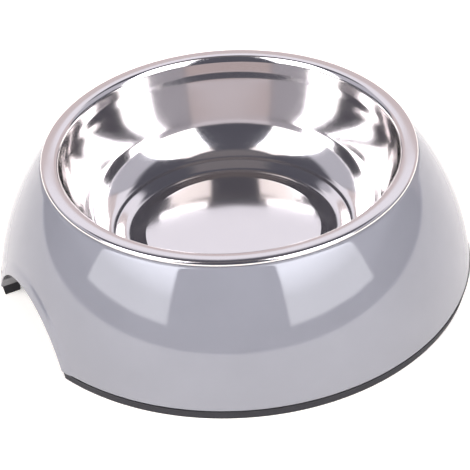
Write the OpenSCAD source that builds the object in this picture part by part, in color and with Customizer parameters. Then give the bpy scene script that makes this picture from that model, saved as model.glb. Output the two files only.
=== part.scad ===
// Two-piece pet bowl: a drawn steel bowl that drops into a moulded stand with finger arches.
// The origin is on the ground at the bowl's axis, +Z is up, and the arches open along X.

/* [Stand] */
// Outer diameter of the moulded stand at its foot
foot_d = 220; // [200:1:260]
// Outer diameter of the stand where the bowl's rim sits on it
seat_d = 171.6; // [168:0.2:180]
// Height of the seat above the ground
seat_h = 64; // [56:0.5:80]
// Radius of the bow in the outer wall, seen from the side
wall_bow_r = 115; // [80:1:300]
// Thickness of the moulded wall
wall_t = 3.2; // [2.4:0.1:4]
// Thickness of the flat ring under the bowl's rim
seat_t = 3; // [2:0.1:5]
// Width of the foot, measured inwards from the outer wall
foot_w = 10; // [7:0.5:12]
// Thickness of the foot above the rubber
foot_t = 4; // [3:0.1:6]
// Gap round the bowl's neck in the stand's mouth
mouth_gap = 0.5; // [0.3:0.1:1]

/* [Finger arches] */
// Width of each arch, measured at the foot
arch_w = 69.6; // [50:0.2:80]
// Height of each arch above the ground
arch_h = 28; // [20:0.5:34]
// Thickness of the moulding that lines each arch
arch_lining_t = 3.2; // [2:0.1:4]
// Width of the raised border round each arch
border_w = 6.4; // [4:0.2:8]
// How far that border stands out from the wall
border_t = 0.6; // [0.3:0.1:1]

/* [Grip strips] */
// Height of rubber that shows under the foot
grip_h = 5.1; // [3:0.1:8]
// Depth of the recess that holds the rubber
grip_recess = 1; // [0.6:0.1:1.6]
// How far the rubber stands back from the outer wall
grip_inset = 0.8; // [0.6:0.1:1.5]
// Width of the rubber
grip_w = 8; // [4:0.5:8.5]
// Gap between the rubber and the sides of its recess
grip_gap = 0.1; // [0.05:0.05:0.2]

/* [Steel bowl] */
// Width of the rolled rim, from the neck to the outer edge
rim_w = 8.2; // [7:0.1:11]
// Height of the crown of the rim over the seat
rim_h = 2.7; // [2.2:0.1:3.2]
// Radius of the two rolled edges of the rim
rim_edge_r = 0.9; // [0.8:0.05:1]
// How far the rim stands back from the seat's outer edge
rim_inset = 0.1; // [0:0.05:0.5]
// Length of the hem that lies on the seat
hem_w = 2.2; // [1:0.1:3]
// Thickness of the steel
sheet_t = 0.6; // [0.4:0.05:0.7]
// Length of the neck under the rim
neck_h = 5; // [4:0.2:8]
// How much smaller the neck's radius is at its lower end
neck_taper = 1.2; // [0:0.1:2]
// Drop of the shoulder between the neck and the side
shoulder_h = 2.4; // [1:0.1:4]
// How far the shoulder steps in
shoulder_w = 2.7; // [1:0.1:4]
// How far the side steps in between the shoulder and the flat of the floor
side_w = 17.7; // [17:0.1:22]
// Radius of the bend between the side and the floor
bend_r = 16; // [8:0.5:16.5]
// Depth of the floor's outer ring under the seat
floor_depth = 42.2; // [34:0.2:44]
// Width of the floor's flat outer ring, between the bend and the groove
ring_w = 0.9; // [0.6:0.1:3]
// Width of the groove's outer slope
groove_out_w = 5.8; // [4:0.1:9]
// Width of the groove's inner slope
groove_in_w = 7.9; // [5:0.1:12]
// Depth of the groove under the floor's outer ring
groove_depth = 2.4; // [1:0.1:2.8]
// Depth of the centre disc under the floor's outer ring
disc_drop = 0.9; // [0.4:0.1:2]

/* [Hidden] */

// Overrun of every cut past the faces that it opens
overrun = 5;
// Largest turn between two points of an arc in the moulding and in the steel, in degrees
mould_turn = 22.5;
steel_turn = 7.5;
// Points along the bow of the wall
bow_steps = 12;
$fn = 180;

// Small roundings of the moulding
edge_round = 0.5;
seat_round = 0.8;
inner_round = 3;
// Small roundings of the pressed steel
shoulder_round = 1.5;
neck_round = 2;
groove_round = 1.5;
disc_round = 1;

foot_r = foot_d / 2;
seat_r = seat_d / 2;
foot_in_r = foot_r - foot_w;
// The rim lies on the seat, and the stand's mouth clears the outside of the neck
rim_out_r = seat_r - rim_inset;
neck_r = rim_out_r - rim_w;
mouth_r = neck_r + sheet_t + mouth_gap;

// Centre of the bow that passes through the foot's and the seat's outer edges
chord = [seat_r - foot_r, seat_h - grip_h];
chord_mid = [seat_r + foot_r, seat_h + grip_h] / 2;
bow_reach = sqrt(pow(wall_bow_r, 2) - pow(norm(chord) / 2, 2));
bow_centre = chord_mid - bow_reach * unit([chord[1], -chord[0]]);

// Each arch is a round tunnel whose axis runs along X under the ground
arch_rise = arch_h - grip_h;
arch_r = (pow(arch_w / 2, 2) + pow(arch_rise, 2)) / (2 * arch_rise);
arch_axis_h = arch_h - arch_r;

function unit(v) = v / norm(v);

// Radius of the wall at a height, at a depth inside its outer face
function wall_r_at(h, depth) =
    bow_centre[0] + sqrt(pow(wall_bow_r - depth, 2) - pow(h - bow_centre[1], 2));

// Points along the bow of the wall, from one height to another
function wall_line(from, to, depth) =
    [for (i = [0:bow_steps]) let (h = from + (to - from) * i / bow_steps) [wall_r_at(h, depth), h, 0]];

// Points of an arc round a centre
function arc(centre, radius, from, to, largest_turn) =
    let (steps = max(2, ceil(abs(to - from) / largest_turn)))
    [for (i = [0:steps]) let (a = from + (to - from) * i / steps) centre + radius * [cos(a), sin(a)]];

// The same outline with each corner, given as [x, y, rounding], turned into an arc
function rounded(corners, largest_turn) =
    let (count = len(corners))
    [for (i = [0:count - 1])
        each corners[i][2] == 0
            ? [[corners[i][0], corners[i][1]]]
            : corner_arc(corners[(i + count - 1) % count], corners[i], corners[(i + 1) % count], largest_turn)];

function corner_arc(before, corner, after, largest_turn) =
    let (
        at = [corner[0], corner[1]],
        back = unit([before[0], before[1]] - at),
        ahead = unit([after[0], after[1]] - at),
        half = acos(back * ahead) / 2,
        centre = at + unit(back + ahead) * corner[2] / sin(half),
        start = at + back * corner[2] / tan(half) - centre,
        first = atan2(start[1], start[0]),
        turn = (180 - 2 * half) * sign(back[1] * ahead[0] - back[0] * ahead[1])
    )
    arc(centre, corner[2], first, first + turn, largest_turn);

// A sheet of even thickness whose visible face follows a path and whose body lies on the path's right
function sheet(path, thickness) =
    let (last = len(path) - 1)
    concat(
        path,
        [for (i = [last:-1:0])
            let (along = unit(path[min(i + 1, last)] - path[max(i - 1, 0)]))
            path[i] + thickness * [along[1], -along[0]]]
    );

// One side of the foot, cut off square beside the arches
module between_arches(side, half_gap, height) {
    reach = foot_r + overrun;
    translate([-reach, side > 0 ? half_gap : -half_gap - reach, 0])
        cube([2 * reach, reach, height]);
}

// All that lies inside a surface at some depth under the wall's outer face
module wall_envelope(depth) {
    rotate_extrude()
        intersection() {
            translate(bow_centre)
                circle(r = wall_bow_r - depth);
            translate([0, grip_h])
                square([foot_d, seat_h - grip_h]);
        }
}

module arch_tunnel(radius) {
    translate([0, 0, arch_axis_h])
        rotate([0, 90, 0])
            cylinder(r = radius, h = foot_d + 2 * overrun, center = true);
}

// The lining stands in from each arch's edge as far as the foot does
module arch_lining() {
    intersection() {
        wall_envelope(wall_t / 2);
        difference() {
            arch_tunnel(arch_r + arch_lining_t);
            cylinder(r = foot_in_r + edge_round, h = seat_h);
        }
    }
}

// The border follows the wall, a little proud of it
module arch_border() {
    intersection() {
        arch_tunnel(arch_r + border_w);
        difference() {
            wall_envelope(-border_t);
            wall_envelope(wall_t / 2);
        }
    }
}

module stand() {
    foot_top = grip_h + foot_t;
    seat_low = seat_h - seat_t;
    color([0.66, 0.66, 0.7])
        difference() {
            union() {
                rotate_extrude()
                    polygon(rounded(concat(
                        [[foot_in_r, grip_h, 0]],
                        [[foot_r, grip_h, edge_round]],
                        [for (i = [1:bow_steps - 1]) wall_line(grip_h, seat_h, 0)[i]],
                        [
                            [seat_r, seat_h, seat_round],
                            [mouth_r, seat_h, edge_round],
                            [mouth_r, seat_low, edge_round],
                            [wall_r_at(seat_low, wall_t), seat_low, inner_round]
                        ],
                        [for (i = [1:bow_steps - 1]) wall_line(seat_low, foot_top, wall_t)[i]],
                        [
                            [wall_r_at(foot_top, wall_t), foot_top, inner_round],
                            [foot_in_r, foot_top, edge_round]
                        ]
                    ), mould_turn));
                arch_lining();
                arch_border();
            }
            arch_tunnel(arch_r);
            grip_recess_ring();
        }
}

// A ring-shaped recess that runs out into the arches
module grip_recess_ring() {
    rotate_extrude()
        translate([foot_r - grip_inset - grip_w - grip_gap, 0])
            square([grip_w + 2 * grip_gap, grip_h + grip_recess]);
}

// An arc of rubber that fills its recess and stands on the ground
module grip_strip(side) {
    outer_r = foot_r - grip_inset;
    color([0.17, 0.18, 0.22])
        intersection() {
            rotate_extrude()
                translate([outer_r - grip_w, 0])
                    square([grip_w, grip_h + grip_recess]);
            between_arches(side, arch_w / 2 + grip_gap, grip_h + grip_recess);
        }
}

module front_grip_strip() {
    grip_strip(-1);
}

module rear_grip_strip() {
    grip_strip(1);
}

module bowl() {
    edge_h = seat_h + rim_edge_r;
    rim_mid_r = (neck_r + rim_out_r) / 2;
    // The crown of the rim meets both rolled edges smoothly
    edge_span = rim_w / 2 - rim_edge_r;
    crown_rise = rim_h - rim_edge_r;
    crown_r = (pow(edge_span, 2) + pow(crown_rise, 2) - pow(rim_edge_r, 2)) / (2 * (crown_rise - rim_edge_r));
    crown_turn = asin(edge_span / (crown_r - rim_edge_r));
    neck_tilt = atan2(neck_taper, neck_h);
    rim = concat(
        arc([neck_r + rim_edge_r, edge_h], rim_edge_r, 180 + neck_tilt, 90 + crown_turn, steel_turn),
        arc([rim_mid_r, seat_h + rim_h - crown_r], crown_r, 90 + crown_turn, 90 - crown_turn, steel_turn),
        arc([rim_out_r - rim_edge_r, edge_h], rim_edge_r, 90 - crown_turn, -90, steel_turn),
        [[rim_out_r - rim_edge_r - hem_w, seat_h]]
    );
    // Radii and heights from the rim down to the middle of the floor
    neck_low_r = neck_r - neck_taper;
    shoulder_r = neck_low_r - shoulder_w;
    floor_r = shoulder_r - side_w;
    groove_r = floor_r - ring_w;
    groove_mid_r = groove_r - groove_out_w;
    disc_r = groove_mid_r - groove_in_w;
    floor_h = seat_h - floor_depth;
    shoulder_top = edge_h - neck_h;
    shoulder_low = shoulder_top - shoulder_h;
    // The bend leaves the floor smoothly, and the side runs straight from it to the shoulder
    to_shoulder = [shoulder_r - floor_r, shoulder_low - floor_h - bend_r];
    side_slope = 90 + atan2(to_shoulder[1], to_shoulder[0]) - acos(bend_r / norm(to_shoulder));
    inside = rounded([
        [0, floor_h - disc_drop, 0],
        [disc_r, floor_h - disc_drop, disc_round],
        [groove_mid_r, floor_h - groove_depth, groove_round],
        [groove_r, floor_h, groove_round],
        [floor_r + bend_r * tan(side_slope / 2), floor_h, bend_r],
        [shoulder_r, shoulder_low, shoulder_round],
        [neck_low_r, shoulder_top, neck_round],
        [rim[0][0], rim[0][1], 0]
    ], steel_turn);
    color([0.82, 0.82, 0.84])
        rotate_extrude()
            polygon(sheet(concat(inside, [for (i = [1:len(rim) - 1]) rim[i]]), sheet_t));
}

stand();
bowl();
front_grip_strip();
rear_grip_strip();
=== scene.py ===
"""Looks of the two-piece pet bowl: polished steel bowl, glossy moulded stand, rubber grip strips.

All lengths are in metres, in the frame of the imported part: the origin is on the ground at the bowl's
axis, +Z is up, and the finger arches open along X.
"""

import math

import bpy
import numpy as np
from mathutils import Matrix, Vector


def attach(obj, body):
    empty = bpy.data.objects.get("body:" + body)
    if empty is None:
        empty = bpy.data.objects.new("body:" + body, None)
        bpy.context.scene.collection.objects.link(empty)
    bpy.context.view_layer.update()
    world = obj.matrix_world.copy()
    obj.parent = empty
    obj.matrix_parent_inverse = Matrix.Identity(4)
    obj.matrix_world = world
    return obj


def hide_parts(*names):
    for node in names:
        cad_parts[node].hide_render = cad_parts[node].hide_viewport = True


MM = 0.001

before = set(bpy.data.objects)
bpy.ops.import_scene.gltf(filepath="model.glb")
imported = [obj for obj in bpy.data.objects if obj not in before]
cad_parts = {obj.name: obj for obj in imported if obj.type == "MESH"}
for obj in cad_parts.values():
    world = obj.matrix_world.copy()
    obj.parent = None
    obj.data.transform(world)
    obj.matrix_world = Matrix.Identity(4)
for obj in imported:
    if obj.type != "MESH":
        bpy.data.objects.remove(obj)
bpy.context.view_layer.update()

# Stand
FOOT_R = 110 * MM
SEAT_R = 85.8 * MM
SEAT_H = 64 * MM
GRIP_H = 5.1 * MM
WALL_BOW_R = 115 * MM
WALL_T = 3.2 * MM
SEAT_T = 3 * MM
FOOT_IN_R = 100 * MM
FOOT_TOP = 9.1 * MM
FOOT_EDGE_ROUND = 0.3 * MM
SEAT_EDGE_ROUND = 0.8 * MM
SEAT_ROUND = 0.5 * MM
MOUTH_GAP = 0.5 * MM

# Finger arches
ARCH_HALF_W = 34.8 * MM
ARCH_H = 28 * MM
ARCH_LINING_T = 3.2 * MM
ARCH_LIP_R = 0.5 * MM
FLARE_T = 0.6 * MM
FLARE_W = 6.4 * MM
FLARE_BLEND_W = 3.4 * MM

# Steel bowl. Slopes and arc ends are in degrees from level
RIM_OUT_R = 85.7 * MM
RIM_W = 8.2 * MM
RIM_H = 2.7 * MM
HEM_W = 2.2 * MM
SHEET_T = 0.6 * MM
CROWN_R = 20 * MM
CROWN_END = 6
OUTER_ROLL_R = 1.5 * MM
# Parts of the roll from the crown down to the neck, each a radius and the slope where it ends
RIM_ROLL = ((1.5 * MM, 40), (4.2 * MM, 77))
NECK_DROP = 4.4 * MM
SHOULDER_SLOPE = 71
SHOULDER_DROP = 3.3 * MM
SIDE_SLOPE = 73.2
# Parts of the bend from the floor up to the side, in the same way
BEND = ((6.8 * MM, 31), (24 * MM, 69), (15 * MM, SIDE_SLOPE))
FLOOR_DEPTH = 41.8 * MM
RING_W = 0.4 * MM
GROOVE_OUT_W = 5.6 * MM
GROOVE_IN_W = 8.2 * MM
GROOVE_DEPTH = 3.2 * MM
DISC_DROP = 0.7 * MM
SOFT_ROUND = 12 * MM
GROOVE_ROUND = 1.5 * MM
GROOVE_LOW_ROUND = 7 * MM
DISC_ROUND = 1 * MM

# Rubber strips
STRIP_TOP_R = 109.8 * MM
STRIP_LOW_R = 109 * MM
STRIP_W = 8 * MM
STRIP_GAP = 0.1 * MM
STRIP_ROUND = 0.5 * MM

# Mesh. Turns are degrees a step, and steps are the longest allowed along an outline
ARC_TURN = 4
SMALL_ARC_TURN = 15
BOWL_STEP = 1.2 * MM
SEAT_STEP = 2 * MM
STRIP_STEP = 1 * MM
BOWL_COLUMNS = 360
STRIP_COLUMNS = 200
ARCH_COLUMNS = 72
SIDE_COLUMNS = 110
WALL_ROWS = 60
LIP_ROWS = 9
EDGE_ROWS = 7
TUNNEL_ROWS = 12
LINING_ROWS = 6
LINING_END_ROWS = 5
POINT_GRID = 0.0001 * MM
SHARP_ANGLE = 35

# Surfaces. Colours and roughnesses are pairs, and the noise moves each surface between the two
NOISE_SPREAD = (0.3, 0.7)
MOULDING_COLOURS = ((0.212, 0.211, 0.228), (0.226, 0.225, 0.243))
MOULDING_ROUGHNESS = (0.02, 0.045)
MOULDING_IOR = 1.68
TINT_SIZE = 30 * MM
MOULDING_GRAIN_SIZE = 0.5 * MM
MOULDING_GRAIN_DEPTH = 0.003 * MM
SAG_SIZE = 22 * MM
SAG_DEPTH = 0.05 * MM
STEEL_COLOURS = ((0.71, 0.68, 0.67), (0.735, 0.705, 0.69))
STEEL_ROUGHNESS = (0.06, 0.16)
HAZE_SIZE = 9 * MM
SPECK_SIZE = 0.35 * MM
SPECK_DEPTH = 0.002 * MM
SPECK_SPREAD = (0.35, 0.75)
WAVE_SIZE = 14 * MM
WAVE_DEPTH = 0.02 * MM
RUBBER_COLOURS = ((0.008, 0.0075, 0.012), (0.014, 0.013, 0.019))
RUBBER_ROUGHNESS = (0.5, 0.68)
RUBBER_IOR = 1.42
RUBBER_GRAIN_SIZE = 0.4 * MM
RUBBER_GRAIN_DEPTH = 0.02 * MM
DUST_SIZE = 6 * MM
DUST_SPREAD = (0.4, 0.75)
FLOOR_COLOURS = ((0.92, 0.87, 0.78), (0.94, 0.89, 0.8))
FLOOR_ROUGHNESS = (0.55, 0.65)
FLOOR_SHINE = 0.2
FLOOR_CLOUD_SIZE = 60 * MM
FLOOR_HALF_SIDE = 3.0
FLOOR_GLOW = 0.36

# Studio. Azimuth 0 is towards the camera and 90 to its right, and all angles are in degrees
FRONT_COLOUR = (0.11, 0.11, 0.14)
OVERHEAD_COLOUR = (0.22, 0.205, 0.225)
OVERHEAD_FROM = 74
GROUND_COLOUR = (1.07, 1.06, 1.16)
GROUND_LOW = -100
BACKDROP_LOW_COLOUR = (0.79, 0.69, 0.72)
BACKDROP_HIGH_COLOUR = (1.07, 1.05, 1.17)
BACKDROP_TURN = 34
BACKDROP_TURN_EDGE = 1.2
BACKDROP_LEFT = -129
BACKDROP_RIGHT = 119
BACKDROP_TOP = 48
BACKDROP_EDGE = 3
SIDE_COLOUR = (0.6, 0.6, 0.69)
SIDE_LOW = 15
WALL_EDGE = 1
SOFTBOX_LOW_COLOUR = (3.2, 3.2, 3.3)
SOFTBOX_HIGH_COLOUR = (7.4, 7.5, 8.2)
SOFTBOX_BRIGHTENS = (21, 34)
SOFTBOX_TOP_COLOUR = (1.75, 1.65, 1.68)
SOFTBOX_DIMS = (57, 64)
SOFTBOX_EDGE = 1.2
# Each softbox's left and right azimuth and its low and high elevation
LEFT_SOFTBOX = (-79, -34, 10, 71)
RIGHT_SOFTBOX = (24, 70, 9, 71)

# Camera, fitted to the photo
LENS = 153.2
CAMERA_AZIMUTH = -25.7
CAMERA_ELEVATION = 36.701
CAMERA_ROLL = -3.282
CAMERA_DISTANCE = 946.5 * MM
AXIS_RIGHT_OF_CENTRE = 0.225 * MM
AXIS_BELOW_CENTRE = 13.74 * MM
CLIP_NEAR = 50 * MM
CLIP_FAR = 20


# Outlines, as rows of (radius, height)


def unit(v):
    return v / np.linalg.norm(v)


def arc_points(centre, radius, start, end, turn=ARC_TURN):
    steps = max(2, math.ceil(abs(end - start) / turn))
    angles = np.radians(np.linspace(start, end, steps + 1))
    return np.stack([centre[0] + radius * np.cos(angles), centre[1] + radius * np.sin(angles)], 1)


def corner_points(before, corner, after, radius, turn=ARC_TURN):
    """The arc that rounds a corner between two other points."""
    back = unit(before - corner)
    ahead = unit(after - corner)
    half = math.acos(float(back @ ahead)) / 2
    centre = corner + unit(back + ahead) * radius / math.sin(half)
    start = corner + back * radius / math.tan(half) - centre
    first = math.degrees(math.atan2(start[1], start[0]))
    bend = (180 - 2 * math.degrees(half)) * np.sign(back[1] * ahead[0] - back[0] * ahead[1])
    return arc_points(centre, radius, first, first + bend, turn)


def filled(path, longest):
    """The same path with extra points, so that no step is longer than longest."""
    out = [path[0]]
    for a, b in zip(path[:-1], path[1:]):
        steps = max(1, math.ceil(np.linalg.norm(b - a) / longest))
        out += [a + (b - a) * k / steps for k in range(1, steps + 1)]
    return np.array(out)


def rounded(corners, turn=ARC_TURN):
    """An outline from its first corner, given as (radius, height, rounding), to just before its last."""
    points = [np.array(c[:2]) for c in corners]
    path = [points[0]]
    for i in range(1, len(corners) - 1):
        path += list(corner_points(points[i - 1], points[i], points[i + 1], corners[i][2], turn))
    return path


def step_down(slope, drop):
    """The step down and inwards along a face of some slope, over a drop in height."""
    return -drop * np.array([1 / math.tan(math.radians(slope)), 1])


def rolled(start, slope, parts, side):
    """Arcs that follow each other smoothly. Side is 1 to bend over and -1 to level out."""
    path = [start]
    for radius, end in parts:
        up = np.array([-math.sin(math.radians(slope)), math.cos(math.radians(slope))])
        centre = path[-1] - side * radius * up
        path += list(arc_points(centre, radius, slope + side * 90, end + side * 90))[1:]
        slope = end
    return path


def offset_right(path, depth):
    """The path moved to its right by a depth, for the sheet's other side."""
    along = np.gradient(path, axis=0)
    along /= np.linalg.norm(along, axis=1)[:, None]
    return path + depth * np.stack([along[:, 1], -along[:, 0]], 1)


# Meshes


def mesh_object(name, patches, body, nodes, material):
    """One piece of the object, on its body and in place of some nodes."""
    mesh = bpy.data.meshes.new(name)
    mesh.from_pydata(patches.vertices, [], patches.faces)
    mesh.update()
    mesh.shade_smooth()
    mesh.set_sharp_from_angle(angle=math.radians(SHARP_ANGLE))
    mesh.materials.append(material)
    obj = bpy.data.objects.new(name, mesh)
    bpy.context.scene.collection.objects.link(obj)
    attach(obj, body)
    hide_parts(*nodes)


class Patches:
    """Grids of points that share their borders, joined into one mesh."""

    def __init__(self):
        self.vertices = []
        self.index = {}
        self.faces = []

    def point(self, p):
        key = tuple(int(round(c / POINT_GRID)) for c in p)
        if key not in self.index:
            self.index[key] = len(self.vertices)
            self.vertices.append(tuple(p))
        return self.index[key]

    def grid(self, rows):
        """Faces between rows of points. Where points of a face meet, it has fewer sides or goes."""
        ids = [[self.point(p) for p in row] for row in rows]
        for low, high in zip(ids[:-1], ids[1:]):
            for k in range(len(low) - 1):
                face = [high[k], high[k + 1], low[k + 1], low[k]]
                face = [v for i, v in enumerate(face) if v != face[i - 1]]
                if len(set(face)) > 2:
                    self.faces.append(face)

    def mirrored(self, signs):
        """Adds a copy of every face with some axes turned round."""
        for face in list(self.faces):
            copy = [self.point(tuple(c * s for c, s in zip(self.vertices[v], signs))) for v in face]
            self.faces.append(copy[::-1] if np.prod(signs) < 0 else copy)


# Steel bowl


def rim_face():
    """The rim's crown from its inner edge outwards, its outer roll and the hem under it."""
    crown_centre = (RIM_OUT_R - RIM_W / 2, SEAT_H + RIM_H - CROWN_R)
    tilt = math.degrees(math.asin((RIM_W / 2 - OUTER_ROLL_R) / (CROWN_R - OUTER_ROLL_R)))
    path = list(arc_points(crown_centre, CROWN_R, 90 + CROWN_END, 90 - tilt))
    edge_h = path[-1][1] - OUTER_ROLL_R * math.cos(math.radians(tilt))
    under_r = edge_h - SEAT_H
    path += list(arc_points((RIM_OUT_R - OUTER_ROLL_R, edge_h), OUTER_ROLL_R, 90 - tilt, 0))[1:]
    path += list(arc_points((RIM_OUT_R - under_r, edge_h), under_r, 0, -90, SMALL_ARC_TURN))[1:]
    path.append(np.array([RIM_OUT_R - under_r - HEM_W, SEAT_H]))
    return path


def floor_corners(floor_r):
    """The floor from the axis over the disc, the groove and the ring to where the bend starts."""
    floor_h = SEAT_H - FLOOR_DEPTH
    groove_r = floor_r - RING_W
    groove_mid_r = groove_r - GROOVE_OUT_W
    disc_r = groove_mid_r - GROOVE_IN_W
    return [
        (0, floor_h - DISC_DROP, 0),
        (disc_r, floor_h - DISC_DROP, DISC_ROUND),
        (groove_mid_r, floor_h - GROOVE_DEPTH, GROOVE_LOW_ROUND),
        (groove_r, floor_h, GROOVE_ROUND),
        (floor_r, floor_h, 0),
    ]


def bowl_face():
    """The bowl's visible face from the middle of the floor to the end of the hem."""
    rim = rim_face()
    roll = rolled(rim[0], CROWN_END, RIM_ROLL, 1)
    neck_low = roll[-1] + step_down(RIM_ROLL[-1][1], NECK_DROP)
    shoulder_low = neck_low + step_down(SHOULDER_SLOPE, SHOULDER_DROP)
    bend = rolled(np.array([0, SEAT_H - FLOOR_DEPTH]), 0, BEND, -1)
    side_low = shoulder_low + step_down(SIDE_SLOPE, shoulder_low[1] - bend[-1][1])
    bend = [p + np.array([side_low[0] - bend[-1][0], 0]) for p in bend]
    side = [(*side_low, 0), (*shoulder_low, SOFT_ROUND), (*neck_low, SOFT_ROUND), (*roll[-1], 0)]
    path = rounded(floor_corners(bend[0][0])) + bend[:-1] + rounded(side) + roll[::-1] + rim[1:]
    return filled(np.array(path), BOWL_STEP)


def bowl_mesh():
    """The face and the sheet's other side as one closed outline, turned about the axis."""
    face = bowl_face()
    under = offset_right(face, SHEET_T)
    under[0][0] = 0
    turns = np.linspace(0, 2 * math.pi, BOWL_COLUMNS + 1)
    across, along = np.cos(turns), np.sin(turns)
    patches = Patches()
    outline = np.concatenate([under, face[::-1]])
    patches.grid([np.stack([r * across, r * along, np.full_like(turns, z)], 1) for r, z in outline])
    return patches


# Stand

CHORD = np.array([SEAT_R - FOOT_R, SEAT_H - GRIP_H])
CHORD_MID = np.array([SEAT_R + FOOT_R, SEAT_H + GRIP_H]) / 2
BOW_REACH = math.sqrt(WALL_BOW_R**2 - (np.linalg.norm(CHORD) / 2) ** 2)
BOW_CENTRE = CHORD_MID - BOW_REACH * unit(np.array([CHORD[1], -CHORD[0]]))
ARCH_RISE = ARCH_H - GRIP_H
ARCH_R = (ARCH_HALF_W**2 + ARCH_RISE**2) / (2 * ARCH_RISE)
ARCH_AXIS_H = ARCH_H - ARCH_R
MOUTH_R = RIM_OUT_R - RIM_W + SHEET_T + MOUTH_GAP


def bow_r(height, depth=0):
    """Radius of the wall at a height, at a depth inside its outer face."""
    return BOW_CENTRE[0] + np.sqrt((WALL_BOW_R - depth) ** 2 - (height - BOW_CENTRE[1]) ** 2)


def fall_back(distance, radius):
    """How far a rounded edge falls back at a distance from the edge."""
    reach = np.clip(radius - distance, 0, radius)
    return radius - np.sqrt(radius**2 - reach**2)


def wall_r(height):
    """Radius of the outer face at a height, with both edges rounded."""
    lower = fall_back(height - GRIP_H, FOOT_EDGE_ROUND)
    upper = fall_back(SEAT_H - height, SEAT_EDGE_ROUND)
    return bow_r(height) - lower - upper


def smooth_step(t):
    t = np.clip(t, 0, 1)
    return t * t * (3 - 2 * t)


def flare(y, z):
    """How far the wall stands out round the arch."""
    beyond = np.hypot(y, z - ARCH_AXIS_H) - ARCH_R
    across = 1 - smooth_step((beyond - FLARE_W + FLARE_BLEND_W) / FLARE_BLEND_W)
    return FLARE_T * across


def turned(turns, r, z):
    """Points at some turns from the arch's middle."""
    return np.stack([-r * np.cos(turns), r * np.sin(turns), np.full_like(turns, z)], 1)


def wall_points(turns, heights):
    """Points of the outer face at some turns and heights."""
    points = turned(turns, wall_r(heights), heights)
    points[:, 0] -= flare(points[:, 1], heights)
    return points


def arch_line(beyond, lowest):
    """Points along the arch from its top down to a height, at a distance beyond its edge, as y and z."""
    radius = ARCH_R + beyond
    turns = np.linspace(math.pi / 2, math.asin((lowest - ARCH_AXIS_H) / radius), ARCH_COLUMNS)
    return radius * np.cos(turns), ARCH_AXIS_H + radius * np.sin(turns)


def on_cylinder(radius, y, z):
    return np.stack([-np.sqrt(radius**2 - y**2), y, z], 1)


def between(first, last, count):
    """Rows of points from one row to another, both included."""
    return [first + (last - first) * share for share in np.linspace(0, 1, count)]


def side_arc(start):
    """From a point beside the arch round to the stand's side, at the same radius and height."""
    turns = np.linspace(math.atan2(start[1], -start[0]), math.pi / 2, SIDE_COLUMNS)
    row = turned(turns, math.hypot(start[0], start[1]), start[2])
    row[0] = start
    return row


def lip_rows():
    """The rounded edge between the arch's lining and the outer wall."""
    rows = []
    for t in np.radians(np.linspace(90, 0, LIP_ROWS)):
        y, z = arch_line(ARCH_LIP_R * (1 - math.sin(t)), GRIP_H)
        x = -np.sqrt(wall_r(z) ** 2 - y**2) - flare(y, z) + ARCH_LIP_R * (1 - math.cos(t))
        rows.append(np.stack([x, y, z], 1))
    return rows


def outer_wall_rows(lowest):
    """The outer wall from its lower edge, whose row begins on the arch's lip, up to the seat."""
    start_turns = np.arctan2(lowest[:, 1], np.sqrt(wall_r(lowest[:, 2]) ** 2 - lowest[:, 1] ** 2))
    side_turns = np.linspace(start_turns[-1], math.pi / 2, SIDE_COLUMNS)
    turns = np.concatenate([start_turns, side_turns[1:]])
    starts = np.concatenate([lowest[:, 2], np.full(SIDE_COLUMNS - 1, GRIP_H)])
    foot_share = FOOT_EDGE_ROUND / (SEAT_H - GRIP_H)
    seat_share = SEAT_EDGE_ROUND / (SEAT_H - GRIP_H)
    bend = 1 - np.cos(np.radians(np.linspace(0, 90, EDGE_ROWS)))
    middle = np.linspace(foot_share, 1 - seat_share, WALL_ROWS)
    shares = np.concatenate([bend[:-1] * foot_share, middle[:-1], 1 - bend[::-1] * seat_share])
    rows = [wall_points(turns, starts + (SEAT_H - starts) * share) for share in shares]
    rows[0][: len(lowest)] = lowest
    return rows, turns


def seat_profile():
    """From the seat's outer edge over the mouth to the inside of the wall."""
    low = SEAT_H - SEAT_T
    end = (bow_r(low, WALL_T), low)
    corners = [
        (wall_r(SEAT_H), SEAT_H, 0),
        (MOUTH_R, SEAT_H, SEAT_ROUND),
        (MOUTH_R, low, SEAT_ROUND),
        (*end, 0),
    ]
    return filled(np.array(rounded(corners, SMALL_ARC_TURN) + [np.array(end)]), SEAT_STEP)


def inside_rows(seat_low, root, turns):
    """The inside of the wall from the seat's underside down to a row of points at the foot."""
    root_turns = np.arctan2(root[:, 1], -root[:, 0])
    top = SEAT_H - SEAT_T
    rows = [seat_low]
    for share in np.linspace(0, 1, WALL_ROWS)[1:-1]:
        heights = top + (root[:, 2] - top) * share
        rows.append(turned(turns + (root_turns - turns) * share, bow_r(heights, WALL_T), heights))
    return rows + [root]


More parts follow.
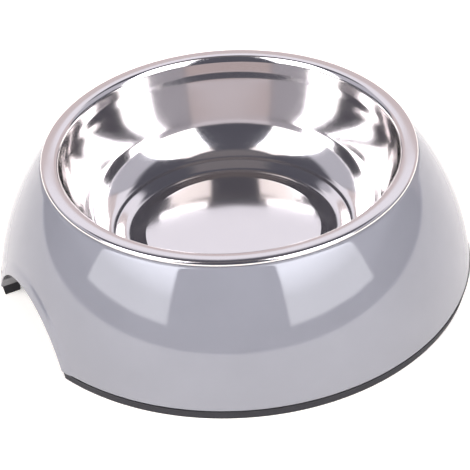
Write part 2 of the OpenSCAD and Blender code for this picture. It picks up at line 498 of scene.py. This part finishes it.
def stand_mesh():
    """A quarter of the stand from the middle of an arch to the side, mirrored twice."""
    patches = Patches()
    lip = lip_rows()
    tunnel = between(on_cylinder(FOOT_IN_R, *arch_line(0, GRIP_H)), lip[0], TUNNEL_ROWS)
    patches.grid(tunnel + lip[1:])
    wall, turns = outer_wall_rows(lip[-1])
    patches.grid(wall)
    seat = [turned(turns, r, z) for r, z in seat_profile()]
    patches.grid([wall[-1]] + seat[1:])

    y, z = arch_line(ARCH_LINING_T, FOOT_TOP)
    lining = on_cylinder(FOOT_IN_R, y, z)
    lining_root = on_cylinder(bow_r(z, WALL_T), y, z)
    root_arc = side_arc(lining_root[-1])
    patches.grid(inside_rows(seat[-1], np.concatenate([lining_root, root_arc[1:]]), turns))
    lining_rows = between(lining_root, lining, LINING_ROWS)
    patches.grid(lining_rows)
    end_rows = between(lining, tunnel[0], LINING_END_ROWS)
    lining_end = [on_cylinder(FOOT_IN_R, row[:, 1], row[:, 2]) for row in end_rows]
    patches.grid(lining_end)

    starts = [row[-1] for row in lining_rows[1:] + lining_end[1:] + tunnel[1:] + lip[1:-1]]
    foot = [root_arc] + [side_arc(start) for start in starts]
    patches.grid(foot + [wall[0][len(lip[-1]) - 1 :]])

    patches.mirrored((1, -1, 1))
    patches.mirrored((-1, 1, 1))
    return patches


# Rubber strips


def strip_section():
    """The strip's closed section. Its outer face slants in a little towards the ground."""
    inner = STRIP_TOP_R - STRIP_W
    corners = [
        (inner, GRIP_H, 0),
        (inner, 0, STRIP_ROUND),
        (STRIP_LOW_R, 0, STRIP_ROUND),
        (STRIP_TOP_R, GRIP_H, 0),
    ]
    path = rounded(corners, SMALL_ARC_TURN)
    path += [np.array([STRIP_TOP_R, GRIP_H]), path[0]]
    return filled(np.array(path), STRIP_STEP)


def strip_mesh(side):
    """One arc of rubber between the arches, with its ends closed."""
    path = strip_section()
    centre = np.array([(STRIP_TOP_R - STRIP_W + STRIP_LOW_R) / 2, GRIP_H / 2])
    shares = np.concatenate([np.zeros(1), np.linspace(0, 1, STRIP_COLUMNS), np.ones(1)])
    sizes = np.ones(len(shares))
    sizes[[0, -1]] = 0
    columns = []
    for share, size in zip(shares, sizes):
        section = centre + (path - centre) * size
        first = np.arcsin((ARCH_HALF_W + STRIP_GAP) / section[:, 0])
        turns = first + (math.pi - 2 * first) * share
        columns.append(turned(turns, section[:, 0], section[:, 1]) * np.array([1, side, 1]))
    patches = Patches()
    patches.grid(columns if side > 0 else columns[::-1])
    return patches


# Materials


class Nodes:
    """Short calls for the nodes of one material or of the world."""

    def __init__(self, owner, shader, place):
        owner.use_nodes = True
        self.owner = owner
        self.tree = owner.node_tree
        self.shader = self.tree.nodes[shader]
        self.place = self.add("ShaderNodeTexCoord").outputs[place]

    def add(self, kind, **settings):
        node = self.tree.nodes.new(kind)
        for key, value in settings.items():
            setattr(node, key, value)
        return node

    def link(self, source, target):
        self.tree.links.new(source, target)

    def fix(self, **values):
        """Numbers and colours set on the shader's own sockets."""
        for key, value in values.items():
            self.shader.inputs[key.replace("_", " ")].default_value = value

    def feed(self, **sources):
        for key, source in sources.items():
            self.link(source, self.shader.inputs[key.replace("_", " ")])
        return self.owner

    def noise(self, size, detail=2.0, rough=0.5):
        """Noise whose features are about size metres across."""
        mapping = self.add("ShaderNodeMapping")
        mapping.inputs["Scale"].default_value = [1 / size] * 3
        node = self.add("ShaderNodeTexNoise")
        node.inputs["Scale"].default_value = 1
        node.inputs["Detail"].default_value = detail
        node.inputs["Roughness"].default_value = rough
        self.link(self.place, mapping.inputs["Vector"])
        self.link(mapping.outputs["Vector"], node.inputs["Vector"])
        return node.outputs["Fac"]

    def ranged(self, value, low, high, to_low=0, to_high=1):
        node = self.add("ShaderNodeMapRange")
        for key, number in (("From Min", low), ("From Max", high), ("To Min", to_low), ("To Max", to_high)):
            node.inputs[key].default_value = number
        self.link(value, node.inputs["Value"])
        return node.outputs["Result"]

    def mixed(self, share, first, second):
        """A colour between two, each a colour or the output of another node."""
        node = self.add("ShaderNodeMix", data_type="RGBA")
        for socket, colour in ((node.inputs["A"], first), (node.inputs["B"], second)):
            if isinstance(colour, tuple):
                socket.default_value = (*colour, 1)
            else:
                self.link(colour, socket)
        self.link(share, node.inputs["Factor"])
        return node.outputs[2]

    def bump(self, height, depth, under=None):
        node = self.add("ShaderNodeBump")
        node.inputs["Distance"].default_value = depth
        self.link(height, node.inputs["Height"])
        if under is not None:
            self.link(under, node.inputs["Normal"])
        return node.outputs["Normal"]

    def math(self, operation, *values):
        node = self.add("ShaderNodeMath", operation=operation)
        for socket, value in zip(node.inputs, values):
            if isinstance(value, (int, float)):
                socket.default_value = value
            else:
                self.link(value, socket)
        return node.outputs[0]

    def above(self, value, limit, softness):
        """0 below a limit and 1 above it, with a soft step."""
        node = self.add("ShaderNodeMapRange", interpolation_type="SMOOTHSTEP")
        node.inputs["From Min"].default_value = limit - softness
        node.inputs["From Max"].default_value = limit + softness
        self.link(value, node.inputs["Value"])
        return node.outputs["Result"]

    def inside(self, value, low, high, softness):
        return self.math("SUBTRACT", self.above(value, low, softness), self.above(value, high, softness))


def material_nodes(name):
    return Nodes(bpy.data.materials.new(name), "Principled BSDF", "Object")


def moulding_material():
    m = material_nodes("moulding")
    m.fix(IOR=MOULDING_IOR)
    tint = m.ranged(m.noise(TINT_SIZE, detail=3), *NOISE_SPREAD)
    grain = m.noise(MOULDING_GRAIN_SIZE, detail=3, rough=0.6)
    sag = m.noise(SAG_SIZE, detail=1)
    return m.feed(
        Base_Color=m.mixed(tint, *MOULDING_COLOURS),
        Roughness=m.ranged(grain, *NOISE_SPREAD, *MOULDING_ROUGHNESS),
        Normal=m.bump(grain, MOULDING_GRAIN_DEPTH, under=m.bump(sag, SAG_DEPTH)),
    )


def steel_material():
    m = material_nodes("steel")
    m.fix(Metallic=1)
    haze = m.noise(HAZE_SIZE, detail=4, rough=0.6)
    specks = m.noise(SPECK_SIZE, detail=2, rough=0.7)
    wave = m.noise(WAVE_SIZE, detail=1)
    return m.feed(
        Base_Color=m.mixed(haze, *STEEL_COLOURS),
        Roughness=m.ranged(specks, *SPECK_SPREAD, *STEEL_ROUGHNESS),
        Normal=m.bump(specks, SPECK_DEPTH, under=m.bump(wave, WAVE_DEPTH)),
    )


def rubber_material():
    m = material_nodes("rubber")
    m.fix(IOR=RUBBER_IOR)
    grain = m.noise(RUBBER_GRAIN_SIZE, detail=4, rough=0.6)
    dust = m.ranged(m.noise(DUST_SIZE, detail=4, rough=0.65), *DUST_SPREAD)
    return m.feed(
        Base_Color=m.mixed(dust, *RUBBER_COLOURS),
        Roughness=m.ranged(grain, *NOISE_SPREAD, *RUBBER_ROUGHNESS),
        Normal=m.bump(grain, RUBBER_GRAIN_DEPTH),
    )


def floor_material():
    """A pale floor that keeps the object's shadow, and glows a little where it is seen."""
    m = material_nodes("floor")
    m.fix(Specular_IOR_Level=FLOOR_SHINE, Emission_Color=(1, 1, 1, 1))
    cloud = m.noise(FLOOR_CLOUD_SIZE, detail=3)
    rays = m.add("ShaderNodeLightPath").outputs
    seen = m.math("MAXIMUM", rays["Is Camera Ray"], rays["Is Glossy Ray"])
    seen = m.math("MAXIMUM", seen, rays["Is Transmission Ray"])
    return m.feed(
        Base_Color=m.mixed(cloud, *FLOOR_COLOURS),
        Roughness=m.ranged(cloud, *NOISE_SPREAD, *FLOOR_ROUGHNESS),
        Emission_Strength=m.math("MULTIPLY", seen, FLOOR_GLOW),
    )


# Stage


def add_floor():
    mesh = bpy.data.meshes.new("floor")
    corners = [(-1, -1), (1, -1), (1, 1), (-1, 1)]
    mesh.from_pydata([(x * FLOOR_HALF_SIDE, y * FLOOR_HALF_SIDE, 0) for x, y in corners], [], [(0, 1, 2, 3)])
    mesh.materials.append(floor_material())
    floor = bpy.data.objects.new("floor", mesh)
    bpy.context.scene.collection.objects.link(floor)


def camera_axes():
    """The camera's right, down and forward directions in the object's frame."""
    e, a, r = (math.radians(v) for v in (CAMERA_ELEVATION, CAMERA_AZIMUTH, CAMERA_ROLL))
    forward = Vector((-math.sin(a) * math.cos(e), math.cos(a) * math.cos(e), -math.sin(e)))
    level = Vector((math.cos(a), math.sin(a), 0))
    down = forward.cross(level)
    right = level * math.cos(r) - down * math.sin(r)
    return right, level * math.sin(r) + down * math.cos(r), forward


def add_camera():
    right, down, forward = camera_axes()
    data = bpy.data.cameras.new("camera")
    data.lens = LENS
    data.clip_start = CLIP_NEAR
    data.clip_end = CLIP_FAR
    cam = bpy.data.objects.new("camera", data)
    bpy.context.scene.collection.objects.link(cam)
    at = -(right * AXIS_RIGHT_OF_CENTRE + down * AXIS_BELOW_CENTRE + forward * CAMERA_DISTANCE)
    turn = Matrix((right, -down, -forward)).transposed()
    cam.matrix_world = Matrix.Translation(at) @ turn.to_4x4()
    bpy.context.scene.camera = cam


def directions(w):
    """Azimuth and elevation of the world's light, as outputs of nodes."""
    split = w.add("ShaderNodeSeparateXYZ")
    w.link(w.place, split.inputs[0])
    x, y, z = split.outputs
    plan = w.math("DEGREES", w.math("ARCTAN2", x, w.math("MULTIPLY", y, -1)))
    azimuth = w.math("WRAP", w.math("SUBTRACT", plan, CAMERA_AZIMUTH), 180, -180)
    return azimuth, w.math("DEGREES", w.math("ARCSINE", z))


def softbox_light(w, elevation):
    """A softbox's colour: dimmer at its foot and at its top."""
    glow = w.mixed(w.ranged(elevation, *SOFTBOX_BRIGHTENS), SOFTBOX_LOW_COLOUR, SOFTBOX_HIGH_COLOUR)
    return w.mixed(w.ranged(elevation, *SOFTBOX_DIMS), glow, SOFTBOX_TOP_COLOUR)


def add_world():
    """A studio seen from the object: two softboxes in front, a backdrop behind and plain walls beside it."""
    world = bpy.data.worlds.new("studio")
    bpy.context.scene.world = world
    w = Nodes(world, "Background", "Generated")
    azimuth, elevation = directions(w)
    behind = w.math("SUBTRACT", 1, w.inside(azimuth, BACKDROP_LEFT, BACKDROP_RIGHT, BACKDROP_EDGE))
    front = w.inside(azimuth, LEFT_SOFTBOX[0], RIGHT_SOFTBOX[1], BACKDROP_EDGE)
    beside = w.math("SUBTRACT", w.math("SUBTRACT", 1, behind), front)
    turn = w.above(elevation, BACKDROP_TURN, BACKDROP_TURN_EDGE)
    backdrop = w.mixed(turn, BACKDROP_LOW_COLOUR, BACKDROP_HIGH_COLOUR)
    areas = [
        (behind, 0, BACKDROP_TOP, BACKDROP_EDGE, backdrop),
        (beside, SIDE_LOW, BACKDROP_TOP, BACKDROP_EDGE, SIDE_COLOUR),
        (1, GROUND_LOW, 0, WALL_EDGE, GROUND_COLOUR),
    ]
    for left, right, low, high in (LEFT_SOFTBOX, RIGHT_SOFTBOX):
        across = w.inside(azimuth, left, right, SOFTBOX_EDGE)
        areas.append((across, low, high, SOFTBOX_EDGE, softbox_light(w, elevation)))
    light = w.mixed(w.above(elevation, OVERHEAD_FROM, BACKDROP_EDGE), FRONT_COLOUR, OVERHEAD_COLOUR)
    for across, low, high, edge, colour in areas:
        lit = w.math("MULTIPLY", across, w.inside(elevation, low, high, edge))
        light = w.mixed(lit, light, colour)
    w.feed(Color=light)


mesh_object("steel_bowl", bowl_mesh(), "bowl", ["bowl"], steel_material())
mesh_object("moulded_stand", stand_mesh(), "stand", ["stand"], moulding_material())
rubber = rubber_material()
for name, side in (("front_grip_strip", -1), ("rear_grip_strip", 1)):
    mesh_object(name + "_rubber", strip_mesh(side), "stand", [name], rubber)

add_floor()
add_camera()
add_world()
bpy.context.scene.view_settings.view_transform = "Standard"
